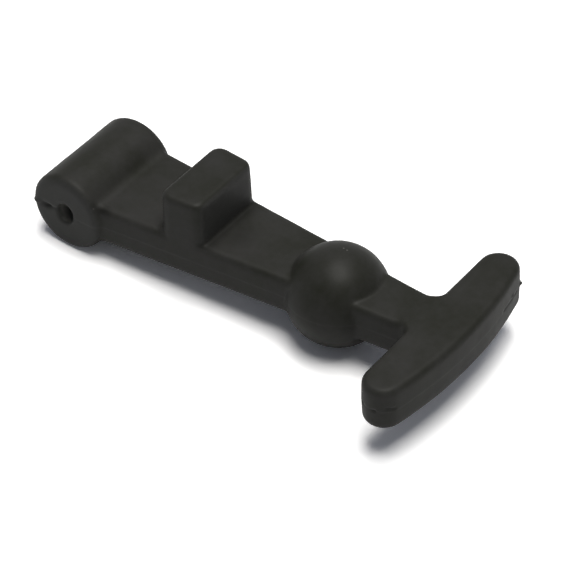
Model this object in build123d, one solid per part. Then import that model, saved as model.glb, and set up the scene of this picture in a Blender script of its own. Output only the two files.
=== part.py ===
"""Rubber T draw latch: one moulding with a pin barrel, a strap, a lug, a ball and a T handle.

Frame: the origin is the middle of the pin bore, +Y runs along the bore, +X runs down the strap to
the handle, and +Z is the side that the lug stands on. The mould parts on the plane Z = 0.
"""
from build123d import *
import os

# Driving dimensions, in millimetres, and degrees for the draft.
draft = 1.0                       # every wall leans this much away from the parting plane
rim_radius = 1.4                  # rounding along the edges of the strap and the handle

barrel_diameter = 18.0
barrel_length = 25.8
barrel_rim_radius = 1.7
barrel_root_radius = 3.0          # hollow where the barrel runs into the strap's faces
bore_diameter = 4.8               # running fit on a 3/16 in (4.76 mm) hinge pin
bore_mouth_chamfer = 0.2

barrel_overhang = 0.5             # the strap is this much narrower at each end of the barrel
strap_width_at_handle = 10.8      # at the handle's inner face
strap_thickness_at_barrel = 9.4
strap_thickness_at_handle = 9.0

lug_start = 23.3                  # from the bore axis to the back of the lug's foot
lug_length = 10.6                 # of the foot
lug_height = 14.75                # above the parting plane
lug_corner_radius = 2.5
lug_rim_radius = 1.25

bore_to_ball = 61.3
ball_diameter = 21.9
ball_drop = 1.0                   # the ball's centre lies this far under the parting plane

bore_to_handle = 82.3             # to the handle's inner face
handle_width = 49.4
handle_depth = 11.05              # from the inner face to the crown of the outer face
handle_thickness = 10.3
handle_tip_radius = 4.4
handle_root_radius = 2.0          # hollow in plan between the strap and the handle
ramp_length = 4.0                 # the strap thickens to the handle over this length

# Worked out from them.
strap_width_at_barrel = barrel_length - 2 * barrel_overhang
ball_centre = Vector(bore_to_ball, 0, -ball_drop)


def along_strap(at_barrel, at_handle, x):
    """A size of the strap at x, given its values at the bore axis and at the handle."""
    return at_barrel + (at_handle - at_barrel) * x / bore_to_handle


def strap_plan(start, end):
    """The tapering strap seen from above, between two distances from the bore axis."""
    start_y = along_strap(strap_width_at_barrel, strap_width_at_handle, start) / 2
    end_y = along_strap(strap_width_at_barrel, strap_width_at_handle, end) / 2
    corners = [(start, -start_y), (end, -end_y), (end, end_y), (start, start_y)]
    return make_face(Polyline(*corners, close=True))


def handle_plan():
    """The handle seen from above: a straight inner face, round tips and a shallow outer arc."""
    tip_y = handle_width / 2 - handle_tip_radius
    tip_x = bore_to_handle + handle_tip_radius
    crown_x = bore_to_handle + handle_depth
    # The outer arc passes through the crown and runs tangent into both tip circles.
    rise = crown_x - tip_x
    arc_radius = (rise**2 + tip_y**2 - handle_tip_radius**2) / (2 * (rise - handle_tip_radius))
    arc_x = crown_x - arc_radius
    reach = arc_radius / (arc_radius - handle_tip_radius)
    join_x = arc_x + (tip_x - arc_x) * reach
    join_y = tip_y * reach
    inner_face = Line((bore_to_handle, -tip_y), (bore_to_handle, tip_y))
    far_tip = TangentArc((bore_to_handle, tip_y), (join_x, join_y), tangent=(0, 1))
    outer_face = ThreePointArc((join_x, join_y), (crown_x, 0), (join_x, -join_y))
    near_tip = TangentArc((bore_to_handle, -tip_y), (join_x, -join_y), tangent=(0, -1))
    return make_face(Curve() + [inner_face, far_tip, outer_face, near_tip])


def plan_outline():
    """Strap and handle seen from above, with the hollows between them."""
    outline = strap_plan(0, bore_to_handle + handle_depth / 2) + handle_plan()
    on_inner_face = outline.vertices().filter_by(lambda v: abs(v.X - bore_to_handle) < 0.001)
    inner_corners = on_inner_face.sort_by(lambda v: abs(v.Y))[:2]
    return fillet(inner_corners, handle_root_radius)


def side_outline():
    """Barrel, strap and handle seen from the side, with the hollows behind the barrel."""
    ramp_x = bore_to_handle - ramp_length
    middle_x = bore_to_handle - ramp_length / 2
    end_x = bore_to_handle + 2 * handle_depth
    strap_z = strap_thickness_at_barrel / 2
    ramp_z = along_strap(strap_thickness_at_barrel, strap_thickness_at_handle, ramp_x) / 2
    handle_z = handle_thickness / 2
    strap_line = Line((0, strap_z), (ramp_x, ramp_z))
    ramp = Bezier((ramp_x, ramp_z), (middle_x, ramp_z), (middle_x, handle_z), (bore_to_handle, handle_z))
    handle_line = Line((bore_to_handle, handle_z), (end_x, handle_z))
    upper = Curve() + [strap_line, ramp, handle_line]
    lower = mirror(upper, about=Plane.XZ)
    ends = [Line((0, -strap_z), (0, strap_z)), Line((end_x, -handle_z), (end_x, handle_z))]
    band = make_face(upper + lower + ends)
    outline = Circle(barrel_diameter / 2) + band
    roots = outline.vertices().filter_by(
        lambda v: 0.001 < v.X < barrel_diameter / 2 and abs(v.Y) > 0.001
    )
    return fillet(roots, barrel_root_radius)


def strap_and_handle():
    """The flat stock: what the plan outline and the side outline have in common, edges rounded."""
    upper_half = extrude(plan_outline(), amount=barrel_diameter, taper=draft)
    walls = upper_half + mirror(upper_half, about=Plane.XY)
    profile = extrude(Plane.XZ * side_outline(), amount=handle_width, both=True)
    stock = walls & profile
    wall_edges = []
    broad_edges = []
    for face in stock.faces():
        upright = abs(face.normal_at().Z) < 0.2
        (wall_edges if upright else broad_edges).extend(face.edges())
    rims = [e for e in wall_edges if e.center().X > 0.5 and any(e.is_same(b) for b in broad_edges)]
    return fillet(rims, rim_radius)


def barrel():
    """The round boss that turns on the hinge pin, still without its bore."""
    body = Cylinder(barrel_diameter / 2, barrel_length, rotation=(90, 0, 0))
    return fillet(body.edges().filter_by(GeomType.CIRCLE), barrel_rim_radius)


def lug():
    """The stop that stands across the strap, its sides flush with the strap's."""
    body = extrude(strap_plan(lug_start, lug_start + lug_length), amount=lug_height, taper=draft)
    corners = body.edges().filter_by(lambda e: abs(e.tangent_at(0.5).Z) > 0.9)
    body = fillet(corners, lug_corner_radius)
    return fillet(body.faces().sort_by(Axis.Z)[-1].edges(), lug_rim_radius)


def ball():
    """The ball that seats behind the keeper, centred a little under the parting plane."""
    poles_along_strap = (0, 90, 0)
    return Pos(ball_centre) * Sphere(ball_diameter / 2, rotation=poles_along_strap)


def drill_bore(body):
    """Open the pin bore through the barrel and break the edges of its two mouths."""
    body = body - Cylinder(bore_diameter / 2, 2 * barrel_length, rotation=(90, 0, 0))
    mouths = body.edges().filter_by(
        lambda e: e.geom_type == GeomType.CIRCLE and abs(e.radius - bore_diameter / 2) < 0.001
    )
    return chamfer(mouths, bore_mouth_chamfer)


def draw_latch():
    """The whole moulding."""
    return drill_bore(strap_and_handle() + barrel() + lug() + ball())


os.makedirs("parts", exist_ok=True)
export_step(draw_latch(), "parts/draw_latch.step")
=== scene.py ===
# %% [markdown]
# # A moulded rubber T draw latch
# A draw latch of this kind is one piece of black rubber. A pin goes through the barrel at one end, the
# strap is pulled over a keeper, and the ball seats behind it. The fingers pull on the T handle.
#
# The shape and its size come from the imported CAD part, which is loaded first and never moved. This
# lesson turns its hard-edged solid into a moulding: creases that are a little soft, walls that are not
# quite flat, the thin line of flash where the two halves of the mould met, and a dull rubber skin.

# %% Load the CAD part
from math import atan2, cos, degrees, exp, hypot, radians, sin

import bmesh
import bpy
from mathutils import Matrix, Vector, noise


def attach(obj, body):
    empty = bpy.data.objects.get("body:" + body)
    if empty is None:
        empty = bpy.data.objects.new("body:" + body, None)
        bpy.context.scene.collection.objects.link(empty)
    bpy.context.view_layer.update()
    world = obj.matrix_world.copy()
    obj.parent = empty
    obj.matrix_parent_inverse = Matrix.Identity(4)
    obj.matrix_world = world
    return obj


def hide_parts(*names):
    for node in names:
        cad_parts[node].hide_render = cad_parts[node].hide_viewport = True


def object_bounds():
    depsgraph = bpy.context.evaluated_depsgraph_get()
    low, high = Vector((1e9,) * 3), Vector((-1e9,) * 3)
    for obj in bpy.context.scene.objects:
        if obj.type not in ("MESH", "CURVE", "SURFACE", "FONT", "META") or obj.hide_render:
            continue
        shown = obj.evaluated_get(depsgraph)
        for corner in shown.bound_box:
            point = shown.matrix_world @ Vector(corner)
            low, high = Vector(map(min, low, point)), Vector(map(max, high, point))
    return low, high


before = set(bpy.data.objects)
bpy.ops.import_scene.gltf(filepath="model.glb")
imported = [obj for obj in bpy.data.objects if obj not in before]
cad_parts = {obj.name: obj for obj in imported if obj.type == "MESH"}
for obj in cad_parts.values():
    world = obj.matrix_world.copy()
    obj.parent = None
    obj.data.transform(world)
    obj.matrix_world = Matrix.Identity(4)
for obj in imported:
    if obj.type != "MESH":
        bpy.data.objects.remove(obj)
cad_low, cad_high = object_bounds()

mm = 0.001
scene = bpy.context.scene
scene.view_settings.view_transform = "Standard"
print("CAD box in mm:", [round(v / mm, 2) for v in (*cad_low, *cad_high)])

# %% [markdown]
# ## Where the forms lie
# Later steps treat the barrel, the lug, the ball and the handle differently, so the places of these
# forms are named once. Two sizes are read from the part's box: the barrel is the round end at low X,
# and the ball hangs lowest.

# %% Name the forms
barrel_radius = -cad_low.x
barrel_half_length = 12.9 * mm
bore_radius = 2.4 * mm
around_lug = (21.0 * mm, 36.5 * mm)
strap_top = 4.7 * mm
ball_centre = Vector((61.3, 0.0, -1.0)) * mm
ball_radius = ball_centre.z - cad_low.z
handle_start = 82.3 * mm
print("barrel radius and ball radius in mm:", round(barrel_radius / mm, 2), round(ball_radius / mm, 2))

# %% [markdown]
# ## Camera
# A long lens from a little over half a metre away gives the flat, catalogue look of a small part. It
# looks down at about 41 degrees from the side of the barrel's near end, and leans by two degrees,
# because the part stands on its ball and barrel and so slopes a little. A Track To constraint could
# aim the camera but not lean it, so its three axes are worked out from the angles.

# %% Place the camera
azimuth, elevation, lean = radians(37.847), radians(41.402), radians(-2.228)
camera_target = Vector((51.456, -4.807, 0.0)) * mm
camera_distance = 576.09 * mm


def linked(name, data):
    """An object with that data, at the origin and linked into the scene."""
    made = bpy.data.objects.new(name, data)
    scene.collection.objects.link(made)
    return made


back = Vector((sin(azimuth) * cos(elevation), -cos(azimuth) * cos(elevation), sin(elevation)))
level_right = Vector((cos(azimuth), sin(azimuth), 0.0))
level_up = back.cross(level_right)
right = level_right * cos(lean) + level_up * sin(lean)
up = level_up * cos(lean) - level_right * sin(lean)

lens = bpy.data.cameras.new("camera")
lens.sensor_width = 36.0
lens.lens = 179.05
lens.clip_start, lens.clip_end = 0.01, 10.0
camera = linked("camera", lens)
turn = Matrix((right, up, back)).transposed().to_4x4()
camera.matrix_world = Matrix.Translation(camera_target + back * camera_distance) @ turn
scene.camera = camera
print("camera at", [round(v, 4) for v in camera.matrix_world.translation])

# %% [markdown]
# ## Floor
# The latch rests on two things: the barrel along a line and the ball at a point. The floor is the
# plane that touches both circles from below. For two circles with centres c and radii r, a plane with
# the downward normal n touches both when (c2 - c1) . n = r1 - r2, which gives its slope.

# %% Lay the floor
floor_half_width = 1.5

centre_step = hypot(ball_centre.x, ball_centre.z)
centre_slope = atan2(ball_centre.z, ball_centre.x)
floor_slope = centre_slope + (barrel_radius - ball_radius) / centre_step
floor_normal = Vector((-sin(floor_slope), 0.0, cos(floor_slope)))
to_floor = Matrix.Translation(-floor_normal * barrel_radius) @ Matrix.Rotation(-floor_slope, 4, "Y")

floor_shape = bmesh.new()
bmesh.ops.create_grid(floor_shape, x_segments=1, y_segments=1, size=floor_half_width)
bmesh.ops.transform(floor_shape, matrix=to_floor, verts=floor_shape.verts)
floor_mesh = bpy.data.meshes.new("floor")
floor_shape.to_mesh(floor_mesh)
floor_shape.free()
floor = linked("floor", floor_mesh)
print("floor slope in degrees:", round(degrees(floor_slope), 2))

# %% [markdown]
# Materials and the room are built from nodes. A few helpers make the nodes that come up again and
# again, each in the node tree that it is given.

# %% Make helpers for nodes
def new_material(name):
    """An empty node material, with its node tree and the socket that its shader goes into."""
    material = bpy.data.materials.new(name)
    material.use_nodes = True
    material.node_tree.nodes.clear()
    out = material.node_tree.nodes.new("ShaderNodeOutputMaterial")
    return material, material.node_tree, out.inputs["Surface"]


def math_node(tree, operation, first, second=None, clamp=False):
    """A math node; first and second are sockets or numbers."""
    node = tree.nodes.new("ShaderNodeMath")
    node.operation = operation
    node.use_clamp = clamp
    for socket, value in zip(node.inputs, (first, second)):
        if isinstance(value, (int, float)):
            socket.default_value = value
        elif value is not None:
            tree.links.new(value, socket)
    return node.outputs[0]


def mix_colour(tree, mask, first, second):
    """A mix by a mask; first and second are colours or colour sockets."""
    node = tree.nodes.new("ShaderNodeMix")
    node.data_type = "RGBA"
    tree.links.new(mask, node.inputs["Factor"])
    for name, value in (("A", first), ("B", second)):
        if isinstance(value, tuple):
            node.inputs[name].default_value = (*value, 1)
        else:
            tree.links.new(value, node.inputs[name])
    return node.outputs["Result"]


def ray_masks(tree):
    """Two masks: rays that come from a reflection or through glass, and the camera's own."""
    ray = tree.nodes.new("ShaderNodeLightPath").outputs
    reflected = math_node(tree, "MAXIMUM", ray["Is Glossy Ray"], ray["Is Transmission Ray"])
    return reflected, ray["Is Camera Ray"]


def grey(value):
    """The grey of that brightness."""
    return (value, value, value)


print("node helpers:", ", ".join(f.__name__ for f in (new_material, math_node, mix_colour, ray_masks, grey)))

# %% [markdown]
# A white table under soft light: the floor is plain white card. What the camera sees of it is turned
# up to pure white with Is Camera Ray, and its reflection in the rubber is as pale as good card. The
# light that it bounces on to the rubber is that of ordinary card. The shadow stays in all three,
# because it only darkens the colour.

# %% Paint the floor
card_bounce = 0.78
card_in_reflections = 0.86
card_to_camera = 1.25

card, tree, surface = new_material("white_card")
paint = tree.nodes.new("ShaderNodeBsdfDiffuse")
reflected, direct = ray_masks(tree)
shade = mix_colour(tree, reflected, grey(card_bounce), grey(card_in_reflections))
shade = mix_colour(tree, direct, shade, grey(card_to_camera))
tree.links.new(shade, paint.inputs["Color"])
tree.links.new(paint.outputs["BSDF"], surface)
floor_mesh.materials.append(card)
print("card in bounced light, reflections and view:", card_bounce, card_in_reflections, card_to_camera)

# %% [markdown]
# ## Light
# Black rubber shows hardly any colour of its own: what is seen is the soft sheen of whatever is
# around it. So the room is a pale grey to look at and to reflect, except for a wide dark part high up
# behind the camera, where nobody has put a light. Every face and edge that is turned towards the
# camera reflects that part and stays deep black. The room lights the shadows only faintly, and cool.

# %% Light the room
dark_middle = back                        # the dark part is centred on the line through the camera
dark_edge, dark_core = radians(94.0), radians(46.0)
shadow_light, shadow_light_in_dark = (0.19, 0.20, 0.235), (0.09, 0.095, 0.11)
wall_grey, dark_wall_grey = 0.48, 0.10


def ramp(tree, value, start, end, curve="SMOOTHSTEP"):
    """A mask that is 0 up to the start and 1 from the end of a range of values."""
    node = tree.nodes.new("ShaderNodeMapRange")
    node.interpolation_type = curve
    node.inputs["From Min"].default_value = start
    node.inputs["From Max"].default_value = end
    tree.links.new(value, node.inputs["Value"])
    return node.outputs["Result"]


world = bpy.data.worlds.new("grey_room")
scene.world = world
world.use_nodes = True
room = world.node_tree
room.nodes.clear()
towards = room.nodes.new("ShaderNodeVectorMath")
towards.operation = "DOT_PRODUCT"
towards.inputs[1].default_value = dark_middle
room.links.new(room.nodes.new("ShaderNodeTexCoord").outputs["Generated"], towards.inputs[0])
darkness = ramp(room, towards.outputs["Value"], cos(dark_edge), cos(dark_core))


def room_light(bright, dark):
    """A background that falls from bright to dark in the room's dark part."""
    shader = room.nodes.new("ShaderNodeBackground")
    room.links.new(mix_colour(room, darkness, bright, dark), shader.inputs["Color"])
    return shader.outputs[0]


by_ray = room.nodes.new("ShaderNodeMixShader")
room.links.new(math_node(room, "MAXIMUM", *ray_masks(room)), by_ray.inputs["Fac"])
room.links.new(room_light(shadow_light, shadow_light_in_dark), by_ray.inputs[1])
room.links.new(room_light(grey(wall_grey), grey(dark_wall_grey)), by_ray.inputs[2])
out = room.nodes.new("ShaderNodeOutputWorld")
room.links.new(by_ray.outputs[0], out.inputs["Surface"])
print("the room goes dark between", round(degrees(dark_edge)), "and", round(degrees(dark_core)), "degrees")

# %% [markdown]
# The lamps are square soft boxes, because their edges stay soft in the sheen where a point or a sun
# would leave hard spots. Two broad ones overhead give nearly all the light, and the highlight on top
# of the ball. Two weak ones stand low, on the left for the end of the barrel and on the right for the
# front of the lug. Together with the room they light an upward face at about 1.3, which is a little
# above the plain level of 1, at which a colour renders as it is written.

# %% Hang the lamps
middle_of_latch = Vector((0.045, 0.0, 0.0))
warm_white, cool_white, sky_white = (1.0, 0.985, 0.96), (0.95, 0.97, 1.0), (0.90, 0.93, 1.0)

soft_boxes = [  # name, the way to it, how far and how wide in metres, watts, colour
    ("overhead_box", (0.17, -0.04, 1.0), 3.0, 1.5, 70.0, warm_white),
    ("rear_box", (-0.10, 0.20, 1.0), 3.0, 1.0, 32.0, warm_white),
    ("left_box", (-0.50, -0.75, 0.45), 2.0, 1.0, 0.7, sky_white),
    ("right_box", (0.85, -0.35, 0.32), 2.0, 1.0, 3.2, cool_white),
]
for name, the_way, distance, width, watts, colour in soft_boxes:
    box = bpy.data.lights.new(name, "AREA")
    box.shape = "SQUARE"
    box.size = width
    box.energy, box.color = watts, colour
    lamp = linked(name, box)
    lamp.location = middle_of_latch + Vector(the_way).normalized() * distance
    lamp.rotation_mode = "QUATERNION"
    lamp.rotation_quaternion = Vector(the_way).to_track_quat("Z", "Y")
print("lamps:", [row[0] for row in soft_boxes])

# %% [markdown]
# ## The moulding
# The CAD solid meets itself in razor-sharp creases, which no rubber moulding has. The copy is merged,
# because a CAD mesh comes as loose triangles, and then rebuilt on an even grid of small cells. On such
# a grid every crease can be softened by moving points towards their neighbours, in the places that
# need it and nowhere else. A bevel could round single edges, but not the seams where the ball and the
# lug grow out of the strap.

# %% Copy, merge and rebuild the solid
cell = 0.36 * mm
merge_distance = 0.0005 * mm

merged = bmesh.new()
merged.from_mesh(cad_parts["draw_latch"].data)
bmesh.ops.remove_doubles(merged, verts=merged.verts, dist=merge_distance)
bmesh.ops.recalc_face_normals(merged, faces=merged.faces)
merged_mesh = bpy.data.meshes.new("merged_solid")
merged.to_mesh(merged_mesh)
open_edges = sum(1 for edge in merged.edges if not edge.is_manifold)
merged.free()

moulding = linked("latch_moulding", merged_mesh)
rebuild = moulding.modifiers.new("even_cells", "REMESH")
rebuild.mode = "VOXEL"
rebuild.voxel_size = cell
rebuild.use_smooth_shade = True
rebuilt = bpy.data.meshes.new_from_object(moulding.evaluated_get(bpy.context.evaluated_depsgraph_get()))
rebuilt.name = "latch_moulding"
moulding.modifiers.clear()
moulding.data = rebuilt
bpy.data.meshes.remove(merged_mesh)
print("open edges after merging:", open_edges, "points on the grid:", len(rebuilt.vertices))

# %% [markdown]
# The steps that follow need to know, for every point, how far it lies from the average of its
# neighbours. That distance, measured along the normal, is large and positive in a crease and negative
# on an outside edge.

# %% Find the creases and soften them
crease_limit = 0.028 * mm


def crease_depth(vert):
    """How far the middle of a point's neighbours stands off the surface."""
    around = [edge.other_vert(vert).co for edge in vert.link_edges]
    return (sum(around, Vector()) / len(around) - vert.co).dot(vert.normal)


def grown(verts, rings):
    """verts and everything within so many edges of them."""
    found = set(verts)
    rim = set(verts)
    for _ in range(rings):
        rim = {edge.other_vert(v) for v in rim for edge in v.link_edges} - found
        found |= rim
    return sorted(found, key=lambda v: v.index)


def relax(verts, times):
    """Move verts half way towards their neighbours, several times."""
    for _ in range(times):
        bmesh.ops.smooth_vert(
            shape, verts=verts, factor=0.5, use_axis_x=True, use_axis_y=True, use_axis_z=True
        )


shape = bmesh.new()
shape.from_mesh(rebuilt)
relax(shape.verts, times=3)
shape.normal_update()
creases = [v for v in shape.verts if crease_depth(v) > crease_limit]
soft_zone = grown(creases, rings=3)
relax(soft_zone, times=14)
print("points in creases:", len(creases), "softened:", len(soft_zone))

# %% [markdown]
# Three places flow more than that. The lug grows out of the strap through a broad hollow, the strap's
# edges run into the handle's inner face through another, and its broad faces swell into the handle
# without a line. The same smoothing does all three: more passes over a wider zone in the two hollows,
# and over the flat faces alone at the swell.

# %% Soften the lug's foot, the handle's root and the swell between them
foot_depth = 1.0 * mm                     # how far below the strap's top the lug's creases may lie
root_reach = 2.5 * mm
root_side = (5.0 * mm, 9.0 * mm)          # from the middle plane to either side
swell_along = (handle_start - 8.0 * mm, handle_start + 5.0 * mm)
swell_half_width = 6.0 * mm
steep_below, flat_above = 0.5, 0.95       # how much of the normal points up or down on such a face

at_foot = [
    v for v in creases if around_lug[0] < v.co.x < around_lug[1] and v.co.z > strap_top - foot_depth
]
relax(grown(at_foot, rings=9), times=90)

at_root = [
    v for v in creases
    if abs(v.co.x - handle_start) < root_reach and root_side[0] < abs(v.co.y) < root_side[1]
    and abs(v.normal.z) < steep_below
]
relax(grown(at_root, rings=6), times=40)

shape.normal_update()
on_swell = [
    v for v in shape.verts
    if swell_along[0] < v.co.x < swell_along[1] and abs(v.co.y) < swell_half_width
    and abs(v.normal.z) > flat_above
]
relax(on_swell, times=90)
print("points at the lug's foot, at the root and on the swell:", len(at_foot), len(at_root), len(on_swell))

# %% [markdown]
# ## Parting line
# The mould opens on the plane Z = 0. A little rubber creeps between its halves and is left as a thin
# ridge of flash all round the outline. A curve with a bevel could be laid on the surface, but it would
# not be one skin with the rubber. So the mesh is cut along the plane and a little above and below it,
# which gives rows of points to raise and to shift.

# %% Cut the mesh along the parting plane
ridge_half_width = 0.16 * mm
cut_snap = 0.03 * mm                      # a point this close to the cut is moved on to it

for height in (-ridge_half_width, 0.0, ridge_half_width):
    bmesh.ops.bisect_plane(
        shape,
        geom=shape.verts[:] + shape.edges[:] + shape.faces[:],
        dist=cut_snap,
        plane_co=(0, 0, height),
        plane_no=(0, 0, 1),
        use_snap_center=True,
    )
shape.normal_update()
print("points after the cuts:", len(shape.verts))

# %% [markdown]
# The flash is never even: it wanders in height, and it is worn away in places. Noise read at each
# point's own place gives it that, and gives the same ridge on every run.

# %% Say how high the flash stands
flash_on_handle, flash_elsewhere = 0.022 * mm, 0.016 * mm
slow_wander, quick_wander = 420.0, 1600.0  # noise cells in a metre
bore_rim = 0.25 * mm
least_outward = 0.2                       # a face flatter than this has no side to push out


def in_bore(point):
    """The bore was made by a pin, so no parting line runs along it."""
    return hypot(point.x, point.z) < bore_radius + bore_rim


def outward(vert):
    """The way out of the surface, in the parting plane."""
    flat = Vector((vert.normal.x, vert.normal.y, 0.0))
    return flat.normalized() if flat.length > least_outward else Vector()


def ridge_height(point):
    """How high the flash stands here: a slow wander and a quick one, never below 0."""
    wander = 0.5 + 0.6 * noise.noise(point * slow_wander) + 0.4 * noise.noise(point * quick_wander)
    height = flash_on_handle if point.x > handle_start else flash_elsewhere
    return height * max(0.0, wander)


print("flash in mm, on the handle and elsewhere:", flash_on_handle / mm, flash_elsewhere / mm)

# %% [markdown]
# Flash is torn off by hand, and where that went badly it left small scars: flakes that stand out and
# tears that go in. Each scar is a short line on the surface that raises or sinks the points near it,
# which is easier to place and to change than a sculpted stroke.

# %% Place the scars
scar_band = 1.6 * mm                      # no scar reaches further from the parting plane

scars = [  # start, end, height (negative is a tear) and reach, in millimetres
    ((-8.6, -12.3, 0.0), (-7.6, -12.9, 0.0), 0.28, 0.40),
    ((-7.6, -12.9, 0.6), (-6.7, -12.9, 0.7), 0.10, 0.45),
    ((-5.7, -12.9, 0.3), (-4.5, -12.9, 0.3), -0.42, 0.62),
    ((-4.5, -12.9, 0.3), (-2.8, -12.9, 0.4), -0.25, 0.35),
    ((83.9, -23.8, 0.0), (87.6, -24.6, 0.0), -0.30, 0.24),
    ((89.7, -23.5, 0.85), (90.7, -22.2, 0.35), -0.32, 0.32),
    ((82.6, -21.6, 0.0), (82.6, -21.0, 0.0), 0.25, 0.35),
    ((90.2, 22.9, 0.0), (90.5, 22.5, 0.0), 0.45, 0.32),
    ((91.2, 20.3, 0.0), (92.4, 13.6, 0.0), -0.16, 0.20),
    ((91.5, 18.4, 0.4), (91.6, 18.0, 0.4), 0.20, 0.35),
]
scars = [(Vector(a) * mm, Vector(b) * mm, height * mm, reach * mm) for a, b, height, reach in scars]


def closeness(point, start, end, reach):
    """1 on the line from start to end, falling smoothly to 0 a few reaches away."""
    line = end - start
    along = min(1.0, max(0.0, (point - start).dot(line) / max(line.length_squared, 1e-12)))
    gap = (point - start - line * along).length / reach
    return exp(-gap * gap)


def scar_height(point):
    """How far the scars of torn flash raise or sink the surface here."""
    if abs(point.z) > scar_band:
        return 0.0
    return sum(height * closeness(point, start, end, reach) for start, end, height, reach in scars)


print("scars:", len(scars))

# %% [markdown]
# The halves of a mould also never close quite true, so the upper side of the line stands a hair out
# from the lower. The points are moved only after all the moves are known, so that no move reads a
# point that has moved already.

# %% Raise the flash, cut the scars and shift the upper half
upper_shift = Vector((0.02, -0.05, 0.0)) * mm

moves = []
for vert in shape.verts:
    point = vert.co
    if in_bore(point):
        continue
    on_line = max(0.0, 1.0 - abs(point.z) / ridge_half_width)
    push = scar_height(point) + (on_line * ridge_height(point) if on_line > 0.0 else 0.0)
    above = min(1.0, max(0.0, 0.5 + 0.5 * point.z / ridge_half_width))
    moves.append((vert, outward(vert) * push + upper_shift * above))
for vert, move in moves:
    vert.co += move
print("points moved:", len(moves))

# %% [markdown]
# The two mouths of the bore are a little narrower along the strap than the bore itself, as can happen
# when a core pin is pulled out of rubber that is still warm. The wall is squeezed there, less and less
# further in, and the end face round the mouth follows.

# %% Narrow the bore's mouths
mouth_squeeze = 0.15
squeeze_depth = 4.0 * mm


def ease(share):
    """0 below 0, 1 above 1, and a smooth rise between them."""
    share = min(1.0, max(0.0, share))
    return share * share * (3.0 - 2.0 * share)


for vert in shape.verts:
    from_axis = hypot(vert.co.x, vert.co.z)
    if from_axis < 2.0 * bore_radius:
        near_mouth = ease(1.0 - (barrel_half_length - abs(vert.co.y)) / squeeze_depth)
        near_wall = ease(2.0 - from_axis / bore_radius)
        vert.co.x *= 1.0 - mouth_squeeze * near_mouth * near_wall
print("bore along the strap at its mouths, in mm:", round(2.0 * bore_radius * (1.0 - mouth_squeeze) / mm, 2))

# %% [markdown]
# Rubber comes out of a hot mould and shrinks unevenly as it cools, so broad walls are never flat. A
# slow noise moves each point by a few hundredths of a millimetre along its normal. Last, whatever
# stands out past the CAD box is brought back to it, because the part may not grow.

# %% Make the walls uneven and keep to the box
unevenness = 0.05 * mm
broad_waves, short_waves = 110.0, 330.0   # noise cells in a metre
box_clearance = 0.005 * mm

shape.normal_update()
moves = []
for vert in shape.verts:
    bulge = noise.noise(vert.co * broad_waves) + 0.5 * noise.noise(vert.co * short_waves)
    moves.append(vert.normal * (bulge * unevenness))
for vert, move in zip(shape.verts, moves):
    vert.co += move
    for axis in range(3):
        vert.co[axis] = min(max(vert.co[axis], cad_low[axis] + box_clearance), cad_high[axis] - box_clearance)
for face in shape.faces:
    face.smooth = True
shape.to_mesh(rebuilt)
shape.free()
print("triangles:", sum(len(p.vertices) - 2 for p in rebuilt.polygons))

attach(moulding, "root")
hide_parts("draw_latch")

# %% [markdown]
# ## Rubber
# Moulded rubber is nearly black with a warm, slightly olive cast. Its skin copies the mould steel: a fine
# grain, and blotches where it is duller or shinier. A few places are made paler or darker, some of them with
# painted light and shade. A painted image could hold all that, but would stretch over the ball and the rims.
# So each effect is a small node group that reads the place on the object, with named inputs for its scale and
# strength.

# %% Build the blotches
NUMBER, VECTOR = "NodeSocketFloat", "NodeSocketVector"


def new_effect(name, inputs, output):
    """A node group fed with a place: its tree, its input sockets and its one output socket."""
    group = bpy.data.node_groups.new(name, "ShaderNodeTree")
    group.interface.new_socket(name="Place", in_out="INPUT", socket_type=VECTOR)
    for socket, kind, default in inputs:
        made = group.interface.new_socket(name=socket, in_out="INPUT", socket_type=kind)
        made.default_value = default
    group.interface.new_socket(name=output, in_out="OUTPUT", socket_type=NUMBER)
    given = group.nodes.new("NodeGroupInput").outputs
    return group, given, group.nodes.new("NodeGroupOutput").inputs[output]


def noise_node(group, place, scale, detail, roughness):
    """The value of a noise texture at that place; place and scale are sockets."""
    node = group.nodes.new("ShaderNodeTexNoise")
    node.inputs["Detail"].default_value = detail
    node.inputs["Roughness"].default_value = roughness
    group.links.new(place, node.inputs["Vector"])
    group.links.new(scale, node.inputs["Scale"])
    return node.outputs["Fac"]


blotch_inputs = [("Scale", NUMBER, 100.0), ("Contrast", NUMBER, 1.0)]
blotches, given, mask = new_effect("blotches", blotch_inputs, "Mask")
cloudy = noise_node(blotches, given["Place"], given["Scale"], detail=4.0, roughness=0.6)
centred = math_node(blotches, "SUBTRACT", cloudy, 0.5)
spread = math_node(blotches, "MULTIPLY", centred, given["Contrast"])
blotches.links.new(math_node(blotches, "ADD", spread, 0.5, clamp=True), mask)
print("effect:", blotches.name, "inputs:", [socket.name for socket in given if socket.name])

# %% [markdown]
# The grain is two noises, fine and wider, and the small pits that spark erosion leaves in mould steel.
# The wider noise and the pits are both coarser than the fine one by the same share.

# %% Build the grain
coarser = 0.3
wide_height = 1.6

grain_inputs = [("Scale", NUMBER, 3000.0), ("Pits", NUMBER, 0.4)]
grain, given, grain_height = new_effect("mould_grain", grain_inputs, "Height")
fine = noise_node(grain, given["Place"], given["Scale"], detail=3.0, roughness=0.65)
wide_scale = math_node(grain, "MULTIPLY", given["Scale"], coarser)
wide = noise_node(grain, given["Place"], wide_scale, detail=2.0, roughness=0.5)
pits = grain.nodes.new("ShaderNodeTexVoronoi")
pits.feature = "F1"
grain.links.new(given["Place"], pits.inputs["Vector"])
grain.links.new(wide_scale, pits.inputs["Scale"])
dents = math_node(grain, "MULTIPLY", pits.outputs["Distance"], given["Pits"])
waves = math_node(grain, "ADD", fine, math_node(grain, "MULTIPLY", wide, wide_height))
grain.links.new(math_node(grain, "ADD", waves, dents), grain_height)
print("effect:", grain.name, "inputs:", [socket.name for socket in given if socket.name])

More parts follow.
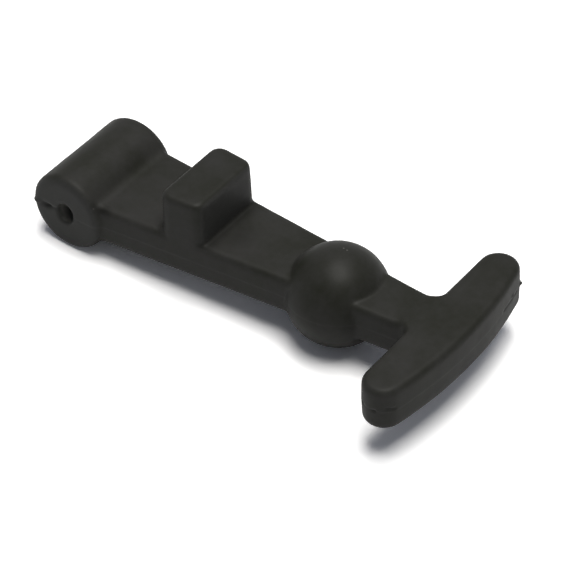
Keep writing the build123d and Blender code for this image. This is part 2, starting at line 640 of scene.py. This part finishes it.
# %% [markdown]
# A speck is a soft round spot at one place: 1 at its centre, 0 from its radius outwards. Specks are
# put where they are wanted, one by one, which no noise can do.

# %% Build the speck
speck_inputs = [("Centre", VECTOR, (0, 0, 0)), ("Radius", NUMBER, 0.2 * mm)]
speck, given, mask = new_effect("speck_at", speck_inputs, "Mask")
gap = speck.nodes.new("ShaderNodeVectorMath")
gap.operation = "DISTANCE"
speck.links.new(given["Place"], gap.inputs[0])
speck.links.new(given["Centre"], gap.inputs[1])
share_of_radius = math_node(speck, "DIVIDE", gap.outputs["Value"], given["Radius"])
speck.links.new(math_node(speck, "SUBTRACT", 1.0, share_of_radius, clamp=True), mask)
print("effect:", speck.name, "inputs:", [socket.name for socket in given if socket.name])

# %% [markdown]
# The rubber itself mixes two near-black tones, one olive and one more neutral, by blotches of two
# sizes. A low specular level keeps the sheen weak, because such a skin mirrors next to nothing.

# %% Mix the rubber's two tones
sheen = 0.13
olive_black, neutral_black = (0.0136, 0.0143, 0.0102), (0.0262, 0.0258, 0.0242)
broad_share, small_share = 0.65, 0.35

rubber, tree, surface = new_material("moulded_rubber")
skin = tree.nodes.new("ShaderNodeBsdfPrincipled")
tree.links.new(skin.outputs["BSDF"], surface)
skin.inputs["Specular IOR Level"].default_value = sheen
place = tree.nodes.new("ShaderNodeTexCoord").outputs["Object"]


def use_effect(group, **values):
    """The effect's output in the rubber, fed with the place on the object."""
    node = tree.nodes.new("ShaderNodeGroup")
    node.node_tree = group
    tree.links.new(place, node.inputs["Place"])
    for name, value in values.items():
        node.inputs[name].default_value = value
    return node.outputs[0]


def product(*masks):
    """Masks and numbers, multiplied with each other."""
    result = masks[0]
    for mask in masks[1:]:
        result = math_node(tree, "MULTIPLY", result, mask)
    return result


broad = use_effect(blotches, Scale=80.0, Contrast=3.6)
small = use_effect(blotches, Scale=700.0, Contrast=2.2)
mottle = math_node(tree, "ADD", product(broad, broad_share), product(small, small_share))
tone = mix_colour(tree, mottle, olive_black, neutral_black)
print("tones:", olive_black, neutral_black)

# %% [markdown]
# The corner in front of the lug's foot is darkened with painted shade, and a darker patch lies on the strap
# before it. The front of the lug is made a little paler with painted light. They could be painted by hand,
# but a mask worked out from X and Z needs no unwrapping: each ramp opens or closes it along one of them.

# %% Paint shade into the lug's corner and light on to its front
corner_shade_strength, dark_patch_strength = 0.48, 0.42
# dark tone for the painted shade in the lug's corner and for the darker patch on the strap
shade_and_patch_dark = (0.006, 0.006, 0.005)
# pale tone for the painted light on the lug's front
front_painted_light = (0.028, 0.028, 0.026)

xyz = tree.nodes.new("ShaderNodeSeparateXYZ")
tree.links.new(place, xyz.inputs[0])
along, across, above = xyz.outputs["X"], xyz.outputs["Y"], xyz.outputs["Z"]


def rise(value, start, end):
    """A mask that goes smoothly from 0 to 1 between two places in millimetres."""
    return ramp(tree, value, start * mm, end * mm)


def spots(places):
    """A mask of specks, each a centre and a radius in millimetres."""
    result = 0.0
    for centre, radius in places:
        spot = use_effect(speck, Centre=[c * mm for c in centre], Radius=radius * mm)
        result = math_node(tree, "MAXIMUM", result, spot)
    return result


# painted light: the lug's front face is made paler, from a little above the strap upwards
lug_front = product(rise(along, 33.0, 33.5), rise(above, 4.8, 5.8), rise(along, 35.0, 34.5))
# painted shade: the corner in front of the lug's foot is darkened
corner = product(
    rise(along, 38.5, 33.9), rise(along, 32.0, 33.5), rise(above, 4.0, 4.4), rise(above, 5.6, 4.9),
    corner_shade_strength,
)
# a darker patch on the strap in front of the lug
dark_patch = product(spots([((37.6, -1.8, 4.6), 5.0)]), dark_patch_strength)
tone = mix_colour(tree, math_node(tree, "MAXIMUM", corner, dark_patch), tone, shade_and_patch_dark)
tone = mix_colour(tree, lug_front, tone, front_painted_light)
print("dirt and lug's front:", shade_and_patch_dark, front_painted_light)

# %% [markdown]
# The ends of the barrel are made paler. The inside of the bore is painted pale: painted light that stands in
# for light the lamps do not bring into the hole. Both masks are worked out from two distances: how far a
# point lies from the bore's axis, and how far from the middle of the barrel.

# %% Make the barrel's ends paler and paint light into the bore
lightened_olive, lightened_neutral = (0.021, 0.022, 0.019), (0.033, 0.033, 0.032)
# painted light: the pale tone inside the bore
bore_painted_light = (0.17, 0.166, 0.15)
barrel_reach = 9.1 * mm                   # just outside the barrel's round face
bore_reach = bore_radius + 0.05 * mm
end_tone_start, end_tone_full = barrel_half_length - 0.9 * mm, barrel_half_length - 0.2 * mm
bore_light_start, bore_light_full = barrel_half_length - 0.3 * mm, barrel_half_length - 1.6 * mm

without_y = tree.nodes.new("ShaderNodeVectorMath")
without_y.operation = "MULTIPLY"
without_y.inputs[1].default_value = (1.0, 0.0, 1.0)
tree.links.new(place, without_y.inputs[0])
length = tree.nodes.new("ShaderNodeVectorMath")
length.operation = "LENGTH"
tree.links.new(without_y.outputs["Vector"], length.inputs[0])
from_axis = length.outputs["Value"]
from_middle = math_node(tree, "ABSOLUTE", across)

on_barrel = math_node(tree, "LESS_THAN", from_axis, barrel_reach)
# the ends of the barrel are made paler
lightened = product(ramp(tree, from_middle, end_tone_start, end_tone_full, "LINEAR"), on_barrel)
tone = mix_colour(tree, lightened, tone, mix_colour(tree, mottle, lightened_olive, lightened_neutral))

in_bore_mask = math_node(tree, "LESS_THAN", from_axis, bore_reach)
# painted light on the bore's wall, fading in from just inside each mouth
bore_light_mask = product(in_bore_mask, ramp(tree, from_middle, bore_light_start, bore_light_full, "LINEAR"))
tone = mix_colour(tree, bore_light_mask, tone, bore_painted_light)
print("rubbed ends and bloom:", lightened_olive, lightened_neutral, bore_painted_light)

# %% [markdown]
# Last come single marks: dark spots of painted shade in the tear beside the bore and in the hollow where the
# barrel, the strap and its rim meet, and a few pale grains on the barrel's end and on top of the ball.

# %% Add the spots of painted shade and the pale grains
# the near-black of the painted shade spots, and the tone of the pale grains
painted_shade_black, pale_grain_tone = (0.004, 0.004, 0.003), (0.16, 0.155, 0.145)
# painted shade in the tear beside the bore, then in the hollow where barrel, strap and rim meet
painted_shade_spots = [  # centre and radius in millimetres
    ((-5.2, -12.9, 0.35), 1.1),
    ((-4.0, -12.9, 0.35), 0.8),
    ((9.6, -12.0, 4.7), 2.6),
    ((8.2, -12.4, 5.4), 1.6),
]
pale_grains = [
    ((7.8, -12.3, 4.6), 0.45),
    ((9.8, -12.3, -0.2), 0.25),
    ((61.3, 2.2, 9.7), 0.22),
    ((62.2, 2.1, 9.7), 0.22),
]
tone = mix_colour(tree, spots(painted_shade_spots), tone, painted_shade_black)
tone = mix_colour(tree, spots(pale_grains), tone, pale_grain_tone)
tree.links.new(tone, skin.inputs["Base Color"])
print("grimy spots:", len(painted_shade_spots), "pale grains:", len(pale_grains))

# %% [markdown]
# Roughness follows the blotches too, so that the sheen breaks up with the colour. The grain goes into
# a Bump node: it is far finer than the mesh, and too shallow to be seen in the outline.

# %% Roughen the skin
glossiest, dullest = 0.43, 0.59
grain_strength, grain_depth = 0.25, 0.02 * mm

dullness = tree.nodes.new("ShaderNodeMapRange")
dullness.inputs["To Min"].default_value, dullness.inputs["To Max"].default_value = glossiest, dullest
tree.links.new(mottle, dullness.inputs["Value"])
tree.links.new(dullness.outputs["Result"], skin.inputs["Roughness"])

relief = tree.nodes.new("ShaderNodeBump")
relief.inputs["Strength"].default_value = grain_strength
relief.inputs["Distance"].default_value = grain_depth
tree.links.new(use_effect(grain, Scale=3200.0, Pits=0.4), relief.inputs["Height"])
tree.links.new(relief.outputs["Normal"], skin.inputs["Normal"])
moulding.data.materials.clear()
moulding.data.materials.append(rubber)
print("materials:", [m.name for m in bpy.data.materials])
